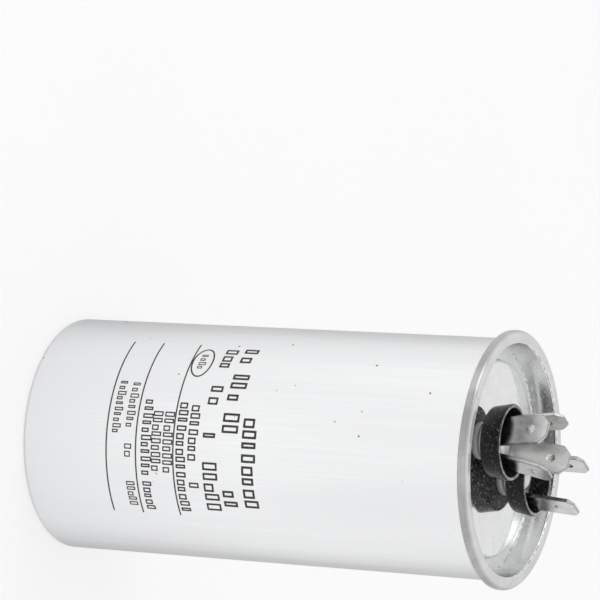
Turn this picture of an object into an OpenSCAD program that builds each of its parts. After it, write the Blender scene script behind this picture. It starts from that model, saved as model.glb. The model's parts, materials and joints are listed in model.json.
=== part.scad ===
// Motor run capacitor in a round drawn can, oil filled, with a pressure interrupter.
// The can stands on its base. +Z runs along the can to the terminals, and +X runs from the
// four-blade terminal to the two-blade terminal.

/* [Can] */
// Outside diameter of the can
can_d = 50; // [46:0.5:60]
// Height from the base to the top of the rolled seam
can_h = 102.7; // [90:0.1:140]
// Thickness of the can's wall and flange
can_wall = 0.6; // [0.35:0.05:0.7]
// Thickness of the can's base
can_base = 0.8; // [0.5:0.1:1.2]
// Outside radius of the corner between the wall and the base
can_corner = 1.2; // [1:0.1:2]

/* [Rolled seam] */
// How far the seam stands out past the can's wall
seam_out = 1.8; // [1.5:0.1:2.4]
// Thickness of the sealing compound between the flange and the lid
compound_t = 0.6; // [0.3:0.05:0.7]
// Bend radius under the can's flange
flange_bend = 0.5; // [0.2:0.05:0.6]
// Gap between the lid's turned-in edge and that bend
curl_gap = 0.05; // [0.02:0.01:0.1]

/* [Lid] */
// Thickness of the lid's tinplate
lid_t = 0.45; // [0.3:0.05:0.5]
// Depth of the lid's panel below the top of the seam
lid_recess = 4.1; // [3.5:0.1:6]
// Gap between the lid's skirt and the inside of the can
lid_fit = 0.4; // [0.2:0.05:0.6]
// Width of the ring groove at the foot of the skirt
groove_w = 3.1; // [2.4:0.1:4]
// Depth of the ring groove below the panel
groove_d = 1.2; // [1.1:0.05:2]
// Inside radius of the lid's bends
lid_bend = 0.3; // [0.1:0.05:0.3]

/* [Terminals] */
// Width of a blade
blade_w = 6.3; // [4.8:0.1:6.4]
// Thickness of a blade
blade_t = 0.8; // [0.5:0.05:0.9]
// Height of the blades' tips above the top of the seam
blade_top = 12.1; // [9:0.1:15]
// Length of the chamfers at the tips of the crown's blades
crown_chamfer = 1.6; // [0.6:0.1:2]
// Length of the chamfers at the tips of the two-blade terminal
pair_chamfer = 1.2; // [0.6:0.1:2]
// Length of the bevel that thins a blade towards its tip
blade_bevel = 1; // [0.4:0.1:1.5]
// Depth of that bevel on each face
bevel_depth = 0.15; // [0.05:0.05:0.2]
// Inside radius of the bend at a blade's root
blade_bend = 0.6; // [0.3:0.1:0.8]
// Distance from a blade's tip to its dimple
dimple_down = 3.9; // [3.2:0.1:5]
// Diameter of the dimple
dimple_d = 1.9; // [1.2:0.1:2.4]
// Depth of the dimple
dimple_depth = 0.3; // [0.1:0.05:0.35]
// Outward lean of the lower pair of blades in the four-blade crown, in degrees
wide_splay = 12.5; // [10:0.5:14]
// Outward lean of the upper pair of blades in the crown, in degrees
narrow_splay = 10; // [6:0.5:11]
// How much more the -Y blade of that pair leans out, and how much less its +Y blade
narrow_tilt = 1.5; // [0:0.25:2]
// How much higher the +Y blade of that pair stands, and how much lower its -Y blade
narrow_skew = 0.4; // [0:0.1:0.6]
// How far that pair is riveted off its cup's centre, towards -Y
narrow_shift = 0.15; // [0:0.05:0.3]
// Outward lean of the two-blade terminal's blades, in degrees
pair_splay = 2; // [1:0.5:5]
// How much more its -Y blade leans out, and how much less its +Y blade
pair_tilt = 3; // [0:0.25:4]
// How far the two-blade terminal is riveted off its cup's centre, towards -Y
pair_shift = 0.5; // [0:0.1:1]
// Gap between the edges of the crown's upper strip and the folds of its lower strip
cross_fit = 0.45; // [0.2:0.05:1]
// Flat left between a rivet's head and the folds of its strip
head_margin = 0.4; // [0.2:0.05:1]

/* [Insulator cups] */
// Least gap between a blade's foot and the wall of its cup
cup_fit = 0.2; // [0.1:0.05:1]
// Clear width between the lips of the two cups
cup_gap = 0.8; // [0.4:0.1:3]
// Height of a cup from its underside to its lip
cup_h = 4.7; // [3.6:0.1:6]
// Thickness of a cup's wall
cup_wall = 0.9; // [0.7:0.05:1.1]
// Thickness of a cup's floor
cup_floor = 1.2; // [0.8:0.1:1.6]
// Outward lean of a cup's wall, in degrees
cup_draft = 10; // [4:0.5:12]
// Radius of the corner round the underside of a cup
cup_corner = 1; // [0.6:0.1:1.2]
// Diameter of the spigot that carries a cup through the lid
spigot_d = 5.6; // [5:0.1:6]

/* [Terminal seals and rivets] */
// Outside diameter of the seal under a cup
seal_d = 7.8; // [7:0.1:10]
// Thickness of the seal under a cup
seal_t = 1.6; // [1:0.1:2.4]
// Clearance round a spigot in the seal and the lid
spigot_fit = 0.1; // [0.05:0.05:0.2]
// Diameter of a rivet's shank
rivet_d = 3; // [2.5:0.1:3.4]
// Clearance round a rivet's shank
rivet_fit = 0.1; // [0.05:0.05:0.2]
// Diameter of a rivet's head
head_d = 5.2; // [4.4:0.1:5.6]
// Height of a rivet's head
head_h = 0.9; // [0.6:0.1:1.2]
// Diameter of the insulating washer under the lid
inner_d = 14; // [10:0.1:15]
// Thickness of the insulating washer under the lid
inner_t = 2; // [1.4:0.1:2.4]
// Depth of the pocket for the spigot's end in that washer
pocket_h = 1; // [0.6:0.1:1.1]
// Diameter of the clench washer on a rivet's shank
clench_d = 7; // [5:0.1:8]
// Thickness of the clench washer
clench_t = 0.6; // [0.4:0.1:0.8]

/* [Pressure interrupter] */
// Gap between the interrupter disc and the inside of the can
disc_fit = 0.6; // [0.2:0.1:1.2]
// Thickness of the interrupter disc
disc_t = 2; // [1.5:0.1:2.4]
// Gap between the disc's hubs and the clench washers
hub_gap = 0.6; // [0.4:0.1:2]
// Height of the hub round each rivet's tail
hub_h = 1.5; // [1:0.1:2.4]
// Outside diameter of that hub
hub_d = 6.4; // [5.6:0.1:7]
// Clearance round a rivet's tail in the disc
tail_fit = 0.5; // [0.3:0.1:0.6]
// Diameter of the oil holes in the disc
oil_hole_d = 3; // [2:0.1:4]
// Number of oil holes in the disc
oil_holes = 6; // [4:1:8]
// Distance from the disc's edge to the middle of an oil hole
oil_hole_inset = 5.4; // [3.5:0.1:6]
// Width of a break tab
tab_w = 4; // [3:0.1:5]
// Thickness of a break tab
tab_t = 0.3; // [0.2:0.05:0.5]
// Distance from the rivet to the lead's weld on a break tab
tab_reach = 9; // [8:0.1:11]
// Diameter of the weak-point nicks in the edges of a break tab
nick_d = 1.6; // [1:0.1:2]
// Diameter of the moulded peg that holds a break tab
peg_d = 1.4; // [1:0.1:1.6]
// Clearance round that peg in the tab
peg_fit = 0.05; // [0.03:0.01:0.1]

/* [Wound element] */
// Outside diameter of the core tube
core_d = 10; // [8:0.1:14]
// Wall thickness of the core tube
core_wall = 1.5; // [1:0.1:2]
// Thickness of the sprayed zinc on each end of the winding
zinc_t = 0.4; // [0.3:0.05:0.6]
// Bare margin of film round the sprayed zinc
zinc_margin = 0.2; // [0:0.1:1]
// Thickness of the insulating wrap round the winding
wrap_t = 0.5; // [0.3:0.05:0.5]
// Height of the spacer ring between the winding and the disc
spacer_h = 8.8; // [7:0.1:12]
// Wall thickness of the spacer ring
spacer_wall = 2.4; // [1.5:0.1:3]

/* [Bottom tray] */
// Height of the tray's wall
tray_h = 8; // [6:0.1:16]
// Thickness of the tray's wall
tray_wall = 1.1; // [0.8:0.1:2]
// Thickness of the tray's floor
tray_floor = 1.5; // [1:0.1:2.5]
// Width of the ledge that carries the winding
ledge_w = 4; // [2.5:0.1:6]
// Gap between the tray's wall and the wrapped winding
wrap_fit = 0.2; // [0.1:0.05:0.3]
// Gap between the solder under the winding and the tray's floor
solder_gap = 0.2; // [0.1:0.1:1]
// Gap between the tray and the inside of the can
tray_fit = 0.2; // [0.1:0.05:0.3]
// Width of the slots that let the lead wire through
slot_w = 2.4; // [2:0.1:3]

/* [Leads] */
// Diameter of a lead wire
lead_d = 1; // [0.7:0.05:1.2]
// Wall thickness of the sleeve on the long lead
sleeve_wall = 0.15; // [0.1:0.05:0.4]
// Clearance between the sleeve and its wire
sleeve_fit = 0.05; // [0.02:0.01:0.1]
// Gap between the sleeve and the can, and between the sleeve and the wrap
sleeve_gap = 0.05; // [0.05:0.05:0.5]
// Bare length of the long lead below and above its sleeve
lead_bare = 2.5; // [2:0.1:4]
// Length of a lead that lies on the sprayed zinc
lead_flat = 5; // [4:0.1:6]
// Radius of the solder on each end of the winding
solder_r = 1.6; // [1.3:0.1:2]

/* [Hidden] */
$fn = 96;

// Colours
aluminium = [0.90, 0.91, 0.92];
tinplate = [0.80, 0.81, 0.82];
tinned_brass = [0.76, 0.76, 0.74];
black_resin = [0.10, 0.10, 0.11];
pale_rubber = [0.85, 0.84, 0.80];
compound_grey = [0.35, 0.38, 0.40];
pale_nylon = [0.88, 0.86, 0.78];
brass = [0.78, 0.62, 0.32];
zinc_grey = [0.60, 0.62, 0.64];
film_clear = [0.82, 0.84, 0.86];
wrap_amber = [0.86, 0.74, 0.46];
copper = [0.82, 0.52, 0.36];
sleeve_red = [0.70, 0.16, 0.12];
solder_grey = [0.70, 0.71, 0.72];

// Radii of the can and its seam
can_r = can_d / 2;
can_in_r = can_r - can_wall;
seam_r = can_r + seam_out;
skirt_r = can_in_r - lid_fit - lid_t;
// The seam stacks two layers of lid, the compound and the flange, and its edge is half round
seam_h = 2 * lid_t + can_wall + compound_t;
bead_r = seam_h / 2;
bead_z = can_h - bead_r;
bead_out_r = seam_r - bead_r;
bead_in_r = skirt_r + bead_r;
flange_z = can_h - seam_h + lid_t;
// Heights at the lid
panel_z = can_h - lid_recess;
groove_in_r = skirt_r - groove_w;
groove_z = panel_z - groove_d;
lid_under_z = panel_z - lid_t;
// Half the flat of each folded strip, and from that the outside of its blades at the root
fold_run = blade_bend + blade_t;
wide_foot = blade_w / 2 + cross_fit + fold_run;
narrow_foot = head_d / 2 + head_margin + narrow_shift + fold_run;
pair_foot = head_d / 2 + head_margin + pair_shift + fold_run;
// A cup's floor holds the feet of either terminal, and its lip follows from the wall's lean
foot_reach = max(wide_foot, narrow_foot + narrow_shift, pair_foot + pair_shift);
cup_floor_r = norm([foot_reach, blade_w / 2]) + cup_fit;
cup_lip_r = cup_floor_r + (cup_h - cup_wall / 2 - cup_floor) * tan(cup_draft) + cup_wall;
// Heights and radii at the terminals
terminal_x = cup_lip_r + cup_gap / 2;
cup_z = panel_z + seal_t;
cup_seat_z = cup_z + cup_floor;
crown_seat_z = cup_seat_z + blade_t;
tip_z = can_h + blade_top;
rivet_hole_r = rivet_d / 2 + rivet_fit;
spigot_hole_r = spigot_d / 2 + spigot_fit;
inner_z = lid_under_z - inner_t;
// Heights inside the can
disc_z = inner_z - clench_t - hub_gap - hub_h - disc_t;
disc_r = can_in_r - disc_fit;
spacer_z = disc_z - spacer_h;
tray_z = can_base;
ledge_z = tray_z + tray_floor;
element_z = ledge_z + solder_r + solder_gap;
wind_z = element_z + zinc_t;
wind_top_z = spacer_z - zinc_t;
tray_out_r = can_in_r - tray_fit;
tray_in_r = tray_out_r - tray_wall;
// The winding leaves room beside it for the tray's wall and for the sleeved lead
sleeve_d = lead_d + 2 * (sleeve_fit + sleeve_wall);
wrap_r = min(tray_in_r - wrap_fit, can_in_r - sleeve_d - 2 * sleeve_gap);
wind_r = wrap_r - wrap_t;
// The long lead climbs halfway between the wrap and the can
lead_r = (wrap_r + can_in_r) / 2;
lead_y = sqrt(lead_r * lead_r - terminal_x * terminal_x);
lead_turn_z = spacer_z + spacer_h / 2;
// Cuts run past the faces that they open by this much
past = 1;
// Straight steps in the arc of a blade's bend
bend_steps = 10;

// A quarter of a bent sheet, swept from the angle start
module bend(inside, t, start) {
    rotate(start) intersection() {
        difference() {
            circle(r = inside + t);
            circle(r = inside);
        }
        square(inside + t);
    }
}

// A rectangle from one corner to the other
module plate(x0, y0, x1, y1) {
    translate([x0, y0]) square([x1 - x0, y1 - y0]);
}

// A flat ring
module ring(outer_r, inner_r, z, h) {
    translate([0, 0, z]) difference() {
        cylinder(r = outer_r, h = h);
        translate([0, 0, -past]) cylinder(r = inner_r, h = h + 2 * past);
    }
}

// A straight-sided vessel's half section, with a round corner at its foot
module vessel_section(r, h, corner) {
    plate(0, 0, r - corner, h);
    plate(0, corner, r, h);
    translate([r - corner, corner]) circle(r = corner);
}

// The drawn can: wall, base and the flange turned out at its mouth
module can() {
    wall_top = flange_z - flange_bend;
    inside_corner = can_corner - can_wall;
    color(aluminium) rotate_extrude() {
        difference() {
            intersection() {
                vessel_section(can_r, wall_top, can_corner);
                plate(0, 0, can_r + past, wall_top);
            }
            translate([0, can_base]) vessel_section(can_in_r, can_h, inside_corner);
        }
        translate([can_r + flange_bend, wall_top]) bend(flange_bend, can_wall, 90);
        plate(can_r + flange_bend, flange_z, bead_out_r, flange_z + can_wall);
    }
}

// Half section of the lid, from the panel out through the groove and skirt to the seam's curl
module lid_section() {
    edge_r = groove_in_r - lid_bend - lid_t;
    foot_z = groove_z + lid_bend;
    // panel and its turned-down edge
    plate(0, lid_under_z, edge_r, panel_z);
    translate([edge_r, lid_under_z - lid_bend]) bend(lid_bend, lid_t, 0);
    plate(groove_in_r - lid_t, foot_z, groove_in_r, lid_under_z - lid_bend);
    // ring groove
    translate([groove_in_r + lid_bend, foot_z]) bend(lid_bend, lid_t, 180);
    plate(groove_in_r + lid_bend, groove_z - lid_t, skirt_r - lid_bend, groove_z);
    translate([skirt_r - lid_bend, foot_z]) bend(lid_bend, lid_t, 270);
    // skirt
    plate(skirt_r, foot_z, skirt_r + lid_t, bead_z);
    // seam: over the flange, round its edge and back under it
    translate([bead_in_r, bead_z]) bend(bead_r - lid_t, lid_t, 90);
    plate(bead_in_r, can_h - lid_t, bead_out_r, can_h);
    translate([bead_out_r, bead_z]) bend(bead_r - lid_t, lid_t, 0);
    translate([bead_out_r, bead_z]) bend(bead_r - lid_t, lid_t, 270);
    plate(can_r + flange_bend + curl_gap, can_h - seam_h, bead_out_r, flange_z);
}

// The pressed lid, with a hole for each terminal's spigot
module lid() {
    color(tinplate) difference() {
        rotate_extrude() lid_section();
        for (side = [-1, 1])
            translate([side * terminal_x, 0, lid_under_z - past])
                cylinder(r = spigot_hole_r, h = lid_t + 2 * past);
    }
}

// Sealing compound between the can's flange and the lid
module seam_compound() {
    color(compound_grey)
        ring(bead_out_r, max(can_in_r, bead_in_r), can_h - lid_t - compound_t, compound_t);
}

// Half section of an insulator cup: leaning wall, full-round lip and round underside
module cup_section() {
    normal = [cos(cup_draft), -sin(cup_draft)];
    round_r = cup_wall / 2;
    lip = [cup_lip_r - round_r, cup_h - round_r];
    // the corner's centre lies where its circle touches the wall's outer face
    corner_x = (lip * normal + round_r - cup_corner * (1 - sin(cup_draft))) / normal.x;
    corner = [corner_x, cup_corner];
    inside_top = lip - round_r * normal;
    inside_foot = [inside_top.x - (inside_top.y - cup_floor) * tan(cup_draft), cup_floor];
    difference() {
        union() {
            polygon([[0, 0], [corner.x, 0], corner, corner + cup_corner * normal,
                     lip + round_r * normal, lip, inside_top, [0, inside_top.y]]);
            translate(corner) circle(r = cup_corner);
        }
        polygon([[0, cup_floor], inside_foot, inside_top, [0, cup_h]]);
    }
    translate(lip) circle(r = round_r);
}

// A moulded insulator cup with its hollow spigot, seated on its seal
module insulator_cup(side) {
    spigot_h = seal_t + lid_t + pocket_h;
    color(black_resin) translate([side * terminal_x, 0, cup_z]) difference() {
        union() {
            rotate_extrude() cup_section();
            translate([0, 0, -spigot_h]) cylinder(d = spigot_d, h = spigot_h + cup_floor / 2);
        }
        translate([0, 0, -spigot_h - past])
            cylinder(r = rivet_hole_r, h = spigot_h + cup_floor + 2 * past);
    }
}

module four_blade_cup() {
    insulator_cup(-1);
}

module two_blade_cup() {
    insulator_cup(1);
}

// The soft seal between a cup and the lid
module cup_seal(side) {
    color(pale_rubber) translate([side * terminal_x, 0, 0])
        ring(seal_d / 2, spigot_hole_r, panel_z, seal_t);
}

module four_blade_seal() {
    cup_seal(-1);
}

module two_blade_seal() {
    cup_seal(1);
}

// A point on a leaning blade: s along it from the root, n outwards through its thickness
function on_blade(root, splay, s, n) = root + s * [sin(splay), cos(splay)] + n * [cos(splay), -sin(splay)];

// Points on the arc of a blade's bend, from the angle start to the angle end
function bend_arc(centre, r, start, end) =
    [for (i = [0 : bend_steps]) let (a = start + (end - start) * i / bend_steps)
        centre + r * [cos(a), sin(a)]];

// Where the inner face of a blade leaves its fold, and the blade's length from there to its tip
function blade_root(foot, splay) =
    [foot - fold_run, fold_run] + blade_bend * [cos(splay), -sin(splay)];
function blade_length(splay, height) = (height - fold_run + blade_bend * sin(splay)) / cos(splay);

// Side outline of the +X half of a folded strip, from its underside round the tip to its top
function half_outline(foot, splay, height) =
    let (fold = [foot - fold_run, fold_run], root = blade_root(foot, splay),
         length = blade_length(splay, height), bevel_z = length - blade_bevel)
    concat(bend_arc(fold, blade_bend + blade_t, -90, -splay),
           [on_blade(root, splay, bevel_z, blade_t),
            on_blade(root, splay, length, blade_t - bevel_depth),
            on_blade(root, splay, length, bevel_depth), on_blade(root, splay, bevel_z, 0)],
           bend_arc(fold, blade_bend, -splay, -90));

// The ball whose cap has the dimple's diameter and depth
module dimple_ball(length, rise) {
    ball_r = (dimple_d * dimple_d / 4 + dimple_depth * dimple_depth) / (2 * dimple_depth);
    translate([0, length - dimple_down, rise + dimple_depth - ball_r]) sphere(r = ball_r);
}

// A wedge that takes one corner off a blade's tip; side is -1 or 1
module corner_cut(length, chamfer, side) {
    half = blade_w / 2 + past;
    cut = chamfer + 2 * past;
    translate([0, 0, -past]) linear_extrude(blade_t + 2 * past)
        polygon([[side * half, length + past], [side * (half - cut), length + past],
                 [side * half, length + past - cut]]);
}

// A strip folded into two opposite blades. It lies along X with its underside at z = 0, and foot
// is half its width across the folds. splays and heights give the outward leans and the heights
// of the tips, the +X blade first.
module blade_pair(foot, splays, heights, chamfer) {
    half = half_outline(foot, splays[0], heights[0]);
    other = half_outline(foot, splays[1], heights[1]);
    mirrored = [for (i = [len(other) - 1 : -1 : 0]) [-other[i].x, other[i].y]];
    lengths = [for (i = [0, 1]) blade_length(splays[i], heights[i])];
    difference() {
        union() {
            translate([0, blade_w / 2, 0]) rotate([90, 0, 0])
                linear_extrude(blade_w) polygon(concat(half, mirrored));
            for (i = [0, 1]) in_blade(blade_root(foot, splays[i]), splays[i], i) intersection() {
                dimple_ball(lengths[i], blade_t);
                translate([0, lengths[i] - dimple_down, blade_t / 2])
                    cylinder(d = blade_w / 2, h = blade_t);
            }
        }
        for (i = [0, 1]) in_blade(blade_root(foot, splays[i]), splays[i], i) {
            dimple_ball(lengths[i], 0);
            for (side = [-1, 1]) corner_cut(lengths[i], chamfer, side);
        }
    }
}

// Places what lies flat, with its root at y = 0 and its inner face at z = 0, on the +X blade, or
// on the -X blade where other is 1
module in_blade(root, splay, other) {
    rotate([0, 0, 180 * other]) translate([root.x, 0, root.y]) rotate([0, splay, 0])
        rotate([90, 0, 90]) children();
}

// Places a folded strip on the terminal at the given side of the lid and drills its rivet hole
module terminal_strip(side, seat_z) {
    color(tinned_brass) translate([side * terminal_x, 0, seat_z]) difference() {
        children();
        translate([0, 0, -past]) cylinder(r = rivet_hole_r, h = blade_t + 2 * past);
    }
}

module crown_wide_strip() {
    height = tip_z - cup_seat_z;
    terminal_strip(-1, cup_seat_z)
        blade_pair(wide_foot, [wide_splay, wide_splay], [height, height], crown_chamfer);
}

module crown_narrow_strip() {
    height = tip_z - crown_seat_z;
    terminal_strip(-1, crown_seat_z) translate([0, -narrow_shift, 0]) rotate([0, 0, 90])
        blade_pair(narrow_foot, [narrow_splay - narrow_tilt, narrow_splay + narrow_tilt],
                   [height + narrow_skew, height - narrow_skew], crown_chamfer);
}

module two_blade_strip() {
    height = tip_z - cup_seat_z;
    terminal_strip(1, cup_seat_z) translate([0, -pair_shift, 0]) rotate([0, 0, 90])
        blade_pair(pair_foot, [pair_splay - pair_tilt, pair_splay + pair_tilt],
                   [height, height], pair_chamfer);
}

// A rivet from its domed head on the strip down to its tail on the break tab
module terminal_rivet(side, seat_z) {
    head_r = head_d / 2;
    dome_r = (head_r * head_r + head_h * head_h) / (2 * head_h);
    color(tinned_brass) translate([side * terminal_x, 0, 0]) {
        translate([0, 0, disc_z]) cylinder(d = rivet_d, h = seat_z - disc_z + head_h / 2);
        intersection() {
            translate([0, 0, seat_z + head_h - dome_r]) sphere(r = dome_r);
            translate([0, 0, seat_z]) cylinder(d = head_d + past, h = head_h + past);
        }
    }
}

module four_blade_rivet() {
    terminal_rivet(-1, crown_seat_z + blade_t);
}

module two_blade_rivet() {
    terminal_rivet(1, cup_seat_z + blade_t);
}

// Insulating washer under the lid, with a pocket for the spigot's end
module inner_washer(side) {
    color(pale_nylon) translate([side * terminal_x, 0, inner_z]) difference() {
        cylinder(d = inner_d, h = inner_t);
        translate([0, 0, inner_t - pocket_h]) cylinder(r = spigot_hole_r, h = pocket_h + past);
        translate([0, 0, -past]) cylinder(r = rivet_hole_r, h = inner_t + 2 * past);
    }
}

module four_blade_inner_washer() {
    inner_washer(-1);
}

module two_blade_inner_washer() {
    inner_washer(1);
}

// Steel washers pressed on the shanks, which clamp each terminal's stack to the lid
module clench_washers() {
    color(zinc_grey) for (side = [-1, 1])
        translate([side * terminal_x, 0, 0])
            ring(clench_d / 2, rivet_d / 2, inner_z - clench_t, clench_t);
}

// The interrupter disc, with a hub round each rivet's tail, oil holes and pegs for the tabs
module interrupter_disc() {
    tail_r = rivet_d / 2 + tail_fit;
    color(pale_nylon) translate([0, 0, disc_z]) {
        difference() {
            union() {
                cylinder(r = disc_r, h = disc_t);
                for (side = [-1, 1])
                    translate([side * terminal_x, 0, 0]) cylinder(d = hub_d, h = disc_t + hub_h);
            }
            for (side = [-1, 1])
                translate([side * terminal_x, 0, -past])
                    cylinder(r = tail_r, h = disc_t + hub_h + 2 * past);
            for (hole = [0 : oil_holes - 1])
                rotate([0, 0, (hole + 0.5) * 360 / oil_holes]) translate([disc_r - oil_hole_inset, 0, -past])
                    cylinder(d = oil_hole_d, h = disc_t + 2 * past);
        }
        for (side = [-1, 1])
            translate([side * terminal_x, tab_reach / 2, -tab_t]) cylinder(d = peg_d, h = tab_t + disc_t / 2);
    }
}

// A thin tab under the disc, welded to a rivet's tail and nicked so that it breaks there
module break_tab(side) {
    nick_y = (rivet_d + tab_w) / 2;
    color(brass) translate([side * terminal_x, 0, disc_z - tab_t]) difference() {
        translate([-tab_w / 2, -tab_w / 2, 0]) cube([tab_w, tab_reach + tab_w, tab_t]);
        for (edge = [-1, 1])
            translate([edge * tab_w / 2, nick_y - nick_d / 2, -past]) cylinder(d = nick_d, h = tab_t + 2 * past);
        translate([0, tab_reach / 2, -past]) cylinder(r = peg_d / 2 + peg_fit, h = tab_t + 2 * past);
    }
}

module four_blade_break_tab() {
    break_tab(-1);
}

module two_blade_break_tab() {
    break_tab(1);
}

// The slot that lets the long lead through a ring, from z up
module lead_slot(z, h) {
    translate([terminal_x - slot_w / 2, 0, z]) cube([slot_w, can_r, h]);
}

// Ring that holds the disc off the winding
module spacer_ring() {
    color(pale_nylon) difference() {
        ring(wrap_r, wrap_r - spacer_wall, spacer_z, spacer_h);
        lead_slot(spacer_z - past, lead_turn_z + slot_w / 2 - spacer_z + past);
    }
}

// The roll of metallised film
module winding() {
    color(film_clear) ring(wind_r, core_d / 2, wind_z, wind_top_z - wind_z);
}

// The tube that the film is wound on
module core_tube() {
    color(pale_nylon) ring(core_d / 2, core_d / 2 - core_wall, element_z, spacer_z - element_z);
}

// Zinc sprayed on an end of the winding
module zinc_layer(z) {
    color(zinc_grey) ring(wind_r - zinc_margin, core_d / 2, z, zinc_t);
}

module top_zinc() {
    zinc_layer(wind_top_z);
}

module bottom_zinc() {
    zinc_layer(element_z);
}

// Plain film wrapped round the winding
module insulating_wrap() {
    color(wrap_amber) ring(wrap_r, wind_r, element_z, spacer_z - element_z);
}

// The tray that centres the winding and keeps it off the can's base
module bottom_tray() {
    corner = can_corner - can_wall;
    color(pale_nylon) difference() {
        rotate_extrude()
            polygon([[0, tray_z], [tray_out_r - corner, tray_z], [tray_out_r, tray_z + corner],
                     [tray_out_r, tray_z + tray_h], [tray_in_r, tray_z + tray_h],
                     [tray_in_r, element_z], [tray_in_r - ledge_w, element_z],
                     [tray_in_r - ledge_w, ledge_z], [0, ledge_z]]);
        lead_slot(ledge_z, tray_h);
    }
}

// A round wire through a list of points, with a ball at each corner
module wire(points, d) {
    for (i = [0 : len(points) - 2]) {
        run = points[i + 1] - points[i];
        translate(points[i])
            rotate([0, acos(run.z / norm(run)), atan2(run.y, run.x)]) cylinder(d = d, h = norm(run));
    }
    for (i = [1 : 1 : len(points) - 2]) translate(points[i]) sphere(d = d);
}

// The routes of the two leads, from the zinc to the break tabs
short_route = [[-terminal_x, tab_reach - lead_flat, spacer_z + lead_d / 2],
               [-terminal_x, tab_reach, spacer_z + lead_d / 2],
               [-terminal_x, tab_reach, disc_z - tab_t]];
long_route = [[terminal_x, tab_reach, element_z - lead_d / 2],
              [terminal_x, lead_y, element_z - lead_d / 2],
              [terminal_x, lead_y, lead_turn_z],
              [terminal_x, tab_reach, lead_turn_z],
              [terminal_x, tab_reach, disc_z - tab_t]];

// Lead from the top of the winding to the four-blade terminal's tab
module short_lead() {
    color(copper) wire(short_route, lead_d);
}

// Lead from the bottom of the winding, up its side, to the two-blade terminal's tab
module long_lead() {
    color(copper) wire(long_route, lead_d);
}

// Insulating sleeve on the climbing run of the long lead
module lead_sleeve() {
    low_z = element_z + lead_bare;
    high_z = lead_turn_z - lead_bare;
    color(sleeve_red) translate([terminal_x, lead_y, 0])
        ring(sleeve_d / 2, lead_d / 2 + sleeve_fit, low_z, high_z - low_z);
}

// The solder that holds each lead to the zinc
module solder_joints() {
    color(solder_grey) {
        difference() {
            translate(short_route[0] - [0, 0, lead_d / 2]) sphere(r = solder_r);
            translate([0, 0, spacer_z - can_r]) cylinder(r = can_r, h = can_r);
            wire(short_route, lead_d);
        }
        difference() {
            translate(long_route[0] + [0, 0, lead_d / 2]) sphere(r = solder_r);
            translate([0, 0, element_z]) cylinder(r = can_r, h = can_r);
            wire(long_route, lead_d);
        }
    }
}

can();
lid();
seam_compound();
four_blade_cup();
two_blade_cup();
four_blade_seal();
two_blade_seal();
crown_wide_strip();
crown_narrow_strip();
two_blade_strip();
four_blade_rivet();
two_blade_rivet();
four_blade_inner_washer();
two_blade_inner_washer();
clench_washers();
interrupter_disc();
four_blade_break_tab();
two_blade_break_tab();
spacer_ring();
winding();
core_tube();
top_zinc();
bottom_zinc();
insulating_wrap();
bottom_tray();
short_lead();
long_lead();
lead_sleeve();
solder_joints();
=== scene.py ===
"""Looks for a motor run capacitor: a drawn aluminium can with a rolled seam, a recessed tinplate
lid and six push-on blades in two black insulator cups. The can stands on its base, +Z up."""
import json
import math

import bmesh
import bpy
import numpy as np
from mathutils import Matrix, Vector


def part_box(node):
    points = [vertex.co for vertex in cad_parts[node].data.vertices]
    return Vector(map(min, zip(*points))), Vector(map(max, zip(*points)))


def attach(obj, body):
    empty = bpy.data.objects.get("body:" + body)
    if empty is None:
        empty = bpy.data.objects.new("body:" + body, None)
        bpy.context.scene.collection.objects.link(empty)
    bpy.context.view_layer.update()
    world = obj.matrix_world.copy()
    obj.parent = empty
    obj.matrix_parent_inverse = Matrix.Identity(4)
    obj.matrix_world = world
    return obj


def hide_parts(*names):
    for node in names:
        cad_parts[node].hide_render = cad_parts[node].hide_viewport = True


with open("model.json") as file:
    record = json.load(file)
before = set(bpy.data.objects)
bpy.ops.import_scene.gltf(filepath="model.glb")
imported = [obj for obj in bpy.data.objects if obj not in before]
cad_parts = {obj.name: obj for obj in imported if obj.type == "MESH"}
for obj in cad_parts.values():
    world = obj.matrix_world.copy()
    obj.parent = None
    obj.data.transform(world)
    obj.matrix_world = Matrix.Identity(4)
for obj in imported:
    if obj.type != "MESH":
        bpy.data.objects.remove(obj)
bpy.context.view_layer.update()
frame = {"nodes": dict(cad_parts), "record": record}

MM = 0.001
record = frame["record"]


def centre_of(node):
    """Middle of a CAD node's box, in millimetres."""
    low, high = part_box(node)
    return (low + high) / 2 / MM


def top_of(node):
    """Height of a CAD node's highest point, in millimetres."""
    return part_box(node)[1].z / MM


def foot_of(node):
    """Height of a CAD node's lowest point, in millimetres."""
    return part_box(node)[0].z / MM


def reach_of(node):
    """How far a CAD node reaches along +X, in millimetres."""
    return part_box(node)[1].x / MM


def radius_of(node):
    """Half the width of a CAD node's box along X, in millimetres."""
    low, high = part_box(node)
    return (high.x - low.x) / 2 / MM


# ---------------------------------------------------------------- sizes, in millimetres
# Where pieces meet, the size comes from the frame. The others repeat the part's source, apart from
# SKIRT_TOP_R: the skirt leans out to it from the groove, inside its clearance to the can.
CAN_R = next(m["dims"]["r_mm"] for m in record["mounts"] if m["name"] == "can_wall")
CAN_TOP = top_of("lid")
SEAM_R = reach_of("lid")
FLANGE_TOP = top_of("can")
FLANGE_R = reach_of("can")
CAN_WALL = 0.6
CAN_BASE = 0.8
CAN_CORNER = 1.2
FLANGE_BEND = 0.5

SHEET = 0.45
PANEL_Z = foot_of("four_blade_seal")
GROOVE_W = 3.1
GROOVE_OUT_R = 23.55
GROOVE_IN_R = GROOVE_OUT_R - GROOVE_W
GROOVE_D = 1.2
SKIRT_TOP_R = 23.93
SEAM_H = 2.1
SEAM_FOOT_BEND = SHEET + 0.1
CURL_R = 25.55
SOFT_BEND = 0.7
TIGHT_BEND = 0.3

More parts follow.
